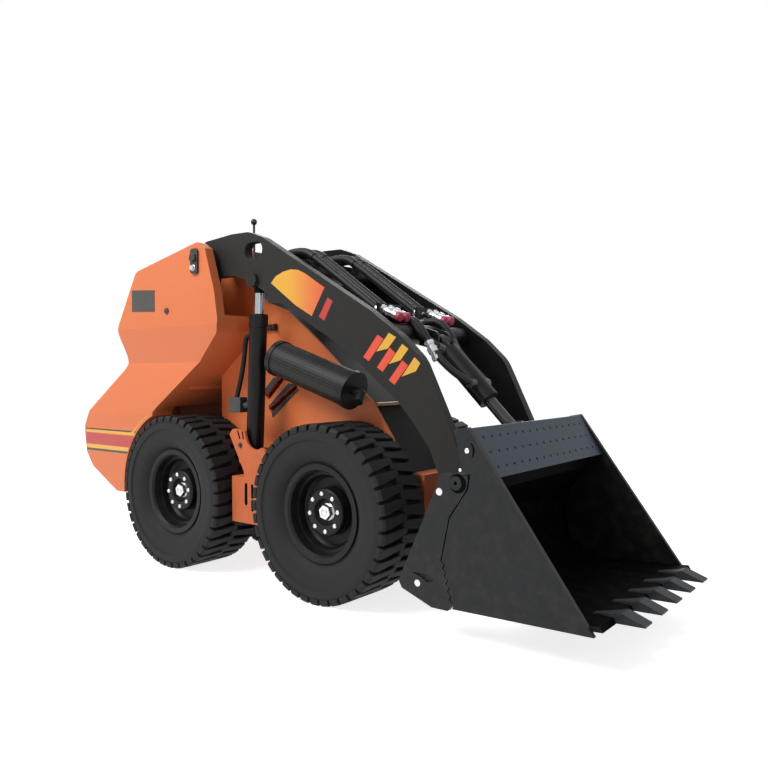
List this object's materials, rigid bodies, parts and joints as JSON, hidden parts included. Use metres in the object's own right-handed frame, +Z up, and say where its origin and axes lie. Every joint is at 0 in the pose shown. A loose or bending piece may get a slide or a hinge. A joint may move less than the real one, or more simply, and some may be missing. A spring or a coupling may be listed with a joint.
{
  "type": "stand-on mini wheel loader",
  "caption": "Small orange stand-on wheel loader with black curved lift arms, chrome cylinders and a wide toothed bucket held low in front.",
  "frame": {"origin": "middle of the bounding box at ground level", "axes": "+X towards the bucket, +Y to the machine's left, +Z up"},
  "size_m": [2.424, 0.756, 1.39],
  "materials": {
    "orange_paint": "satin",
    "black_paint": "satin",
    "hood_black": "gloss",
    "bucket_paint": "satin",
    "rim_paint": "satin",
    "tyre_rubber": "matte",
    "hose_rubber": "matte",
    "cylinder_grey": "satin",
    "rod_chrome": "polished",
    "bare_steel": "satin",
    "shield_black": "matte",
    "engine_iron": "matte",
    "grip_black": "matte"
  },
  "bodies": {
    "chassis": {"arm_pivot_pins": "bare_steel", "chassis_frame": "orange_paint", "control_console": "black_paint", "control_levers": "grip_black", "engine_block": "engine_iron", "engine_deck": "orange_paint", "front_cover": "hood_black", "hood": "hood_black", "lift_base_left": "orange_paint", "lift_base_right": "orange_paint", "muffler": "shield_black", "operator_platform": "black_paint", "rear_housing_left": "orange_paint", "rear_housing_right": "orange_paint", "side_wall_left": "orange_paint", "side_wall_right": "orange_paint", "wheel_motors": "cylinder_grey"},
    "wheel_front_right": {"tyre_front_right": "tyre_rubber", "rim_front_right": "rim_paint"},
    "wheel_front_left": {"tyre_front_left": "tyre_rubber", "rim_front_left": "rim_paint"},
    "wheel_rear_right": {"tyre_rear_right": "tyre_rubber", "rim_rear_right": "rim_paint"},
    "wheel_rear_left": {"tyre_rear_left": "tyre_rubber", "rim_rear_left": "rim_paint"},
    "arm": {"arm_left": "black_paint", "arm_right": "black_paint", "arm_cross_tube": "black_paint", "arm_tilt_tube": "black_paint", "arm_hoses": "hose_rubber"},
    "lift_barrel_right": {"lift_barrel_right": "cylinder_grey"},
    "lift_rod_right": {"lift_rod_right": "rod_chrome"},
    "lift_barrel_left": {"lift_barrel_left": "cylinder_grey"},
    "lift_rod_left": {"lift_rod_left": "rod_chrome"},
    "tilt_barrel": {"tilt_barrel": "cylinder_grey"},
    "tilt_rod": {"tilt_rod": "rod_chrome"},
    "bucket": {"bucket_shell": "bucket_paint", "bucket_side_left": "bucket_paint", "bucket_side_right": "bucket_paint", "bucket_guard": "bucket_paint", "cutting_edge": "bucket_paint", "bucket_teeth": "bucket_paint", "coupler_plate_left": "bucket_paint", "coupler_plate_right": "bucket_paint", "coupler_shaft": "bucket_paint"}
  },
  "joints": [
    {"name": "wheel_front_right_spin", "type": "hinge", "parent": "chassis", "child": "wheel_front_right", "pos_m": [0.1675, -0.25, 0.295], "axis": [0, 1, 0], "continuous": true},
    {"name": "wheel_front_left_spin", "type": "hinge", "parent": "chassis", "child": "wheel_front_left", "pos_m": [0.1675, 0.25, 0.295], "axis": [0, 1, 0], "continuous": true},
    {"name": "wheel_rear_right_spin", "type": "hinge", "parent": "chassis", "child": "wheel_rear_right", "pos_m": [-0.6035, -0.25, 0.295], "axis": [0, 1, 0], "continuous": true},
    {"name": "wheel_rear_left_spin", "type": "hinge", "parent": "chassis", "child": "wheel_rear_left", "pos_m": [-0.6035, 0.25, 0.295], "axis": [0, 1, 0], "continuous": true},
    {"name": "arm_lift", "type": "hinge", "parent": "chassis", "child": "arm", "pos_m": [-0.451, 0, 1.186], "axis": [0, -1, 0], "range_deg": [-3, 62]},
    {"name": "bucket_tilt", "type": "hinge", "parent": "arm", "child": "bucket", "pos_m": [0.727, 0, 0.453], "axis": [0, 1, 0], "range_deg": [-25, 56]},
    {"name": "lift_barrel_right_swing", "type": "hinge", "parent": "chassis", "child": "lift_barrel_right", "pos_m": [-0.238, -0.24, 0.44], "axis": [0, -1, 0], "range_deg": [-0.5, 3]},
    {"name": "lift_rod_right_slide", "type": "slide", "parent": "lift_barrel_right", "child": "lift_rod_right", "axis": [0.0538, 0, 0.9986], "range_m": [-0.02, 0.28]},
    {"name": "lift_barrel_left_swing", "type": "hinge", "parent": "chassis", "child": "lift_barrel_left", "pos_m": [-0.238, 0.24, 0.44], "axis": [0, -1, 0], "range_deg": [-0.5, 3]},
    {"name": "lift_rod_left_slide", "type": "slide", "parent": "lift_barrel_left", "child": "lift_rod_left", "axis": [0.0538, 0, 0.9986], "range_m": [-0.02, 0.28]},
    {"name": "tilt_barrel_swing", "type": "hinge", "parent": "arm", "child": "tilt_barrel", "pos_m": [0.422, 0, 0.857], "axis": [0, -1, 0], "range_deg": [-4.5, 9.5]},
    {"name": "tilt_rod_slide", "type": "slide", "parent": "tilt_barrel", "child": "tilt_rod", "axis": [0.7034, 0, -0.7108], "range_m": [-0.045, 0.09]}
  ],
  "couplings": [
    {"joint": "lift_barrel_right_swing", "follows": "arm_lift", "ratio": 0.0378},
    {"joint": "lift_rod_right_slide", "follows": "arm_lift", "m_per_rad": 0.25286},
    {"joint": "lift_barrel_left_swing", "follows": "arm_lift", "ratio": 0.0378},
    {"joint": "lift_rod_left_slide", "follows": "arm_lift", "m_per_rad": 0.25286},
    {"joint": "tilt_barrel_swing", "follows": "bucket_tilt", "ratio": 0.1515},
    {"joint": "tilt_rod_slide", "follows": "bucket_tilt", "m_per_rad": 0.08226}
  ]
}
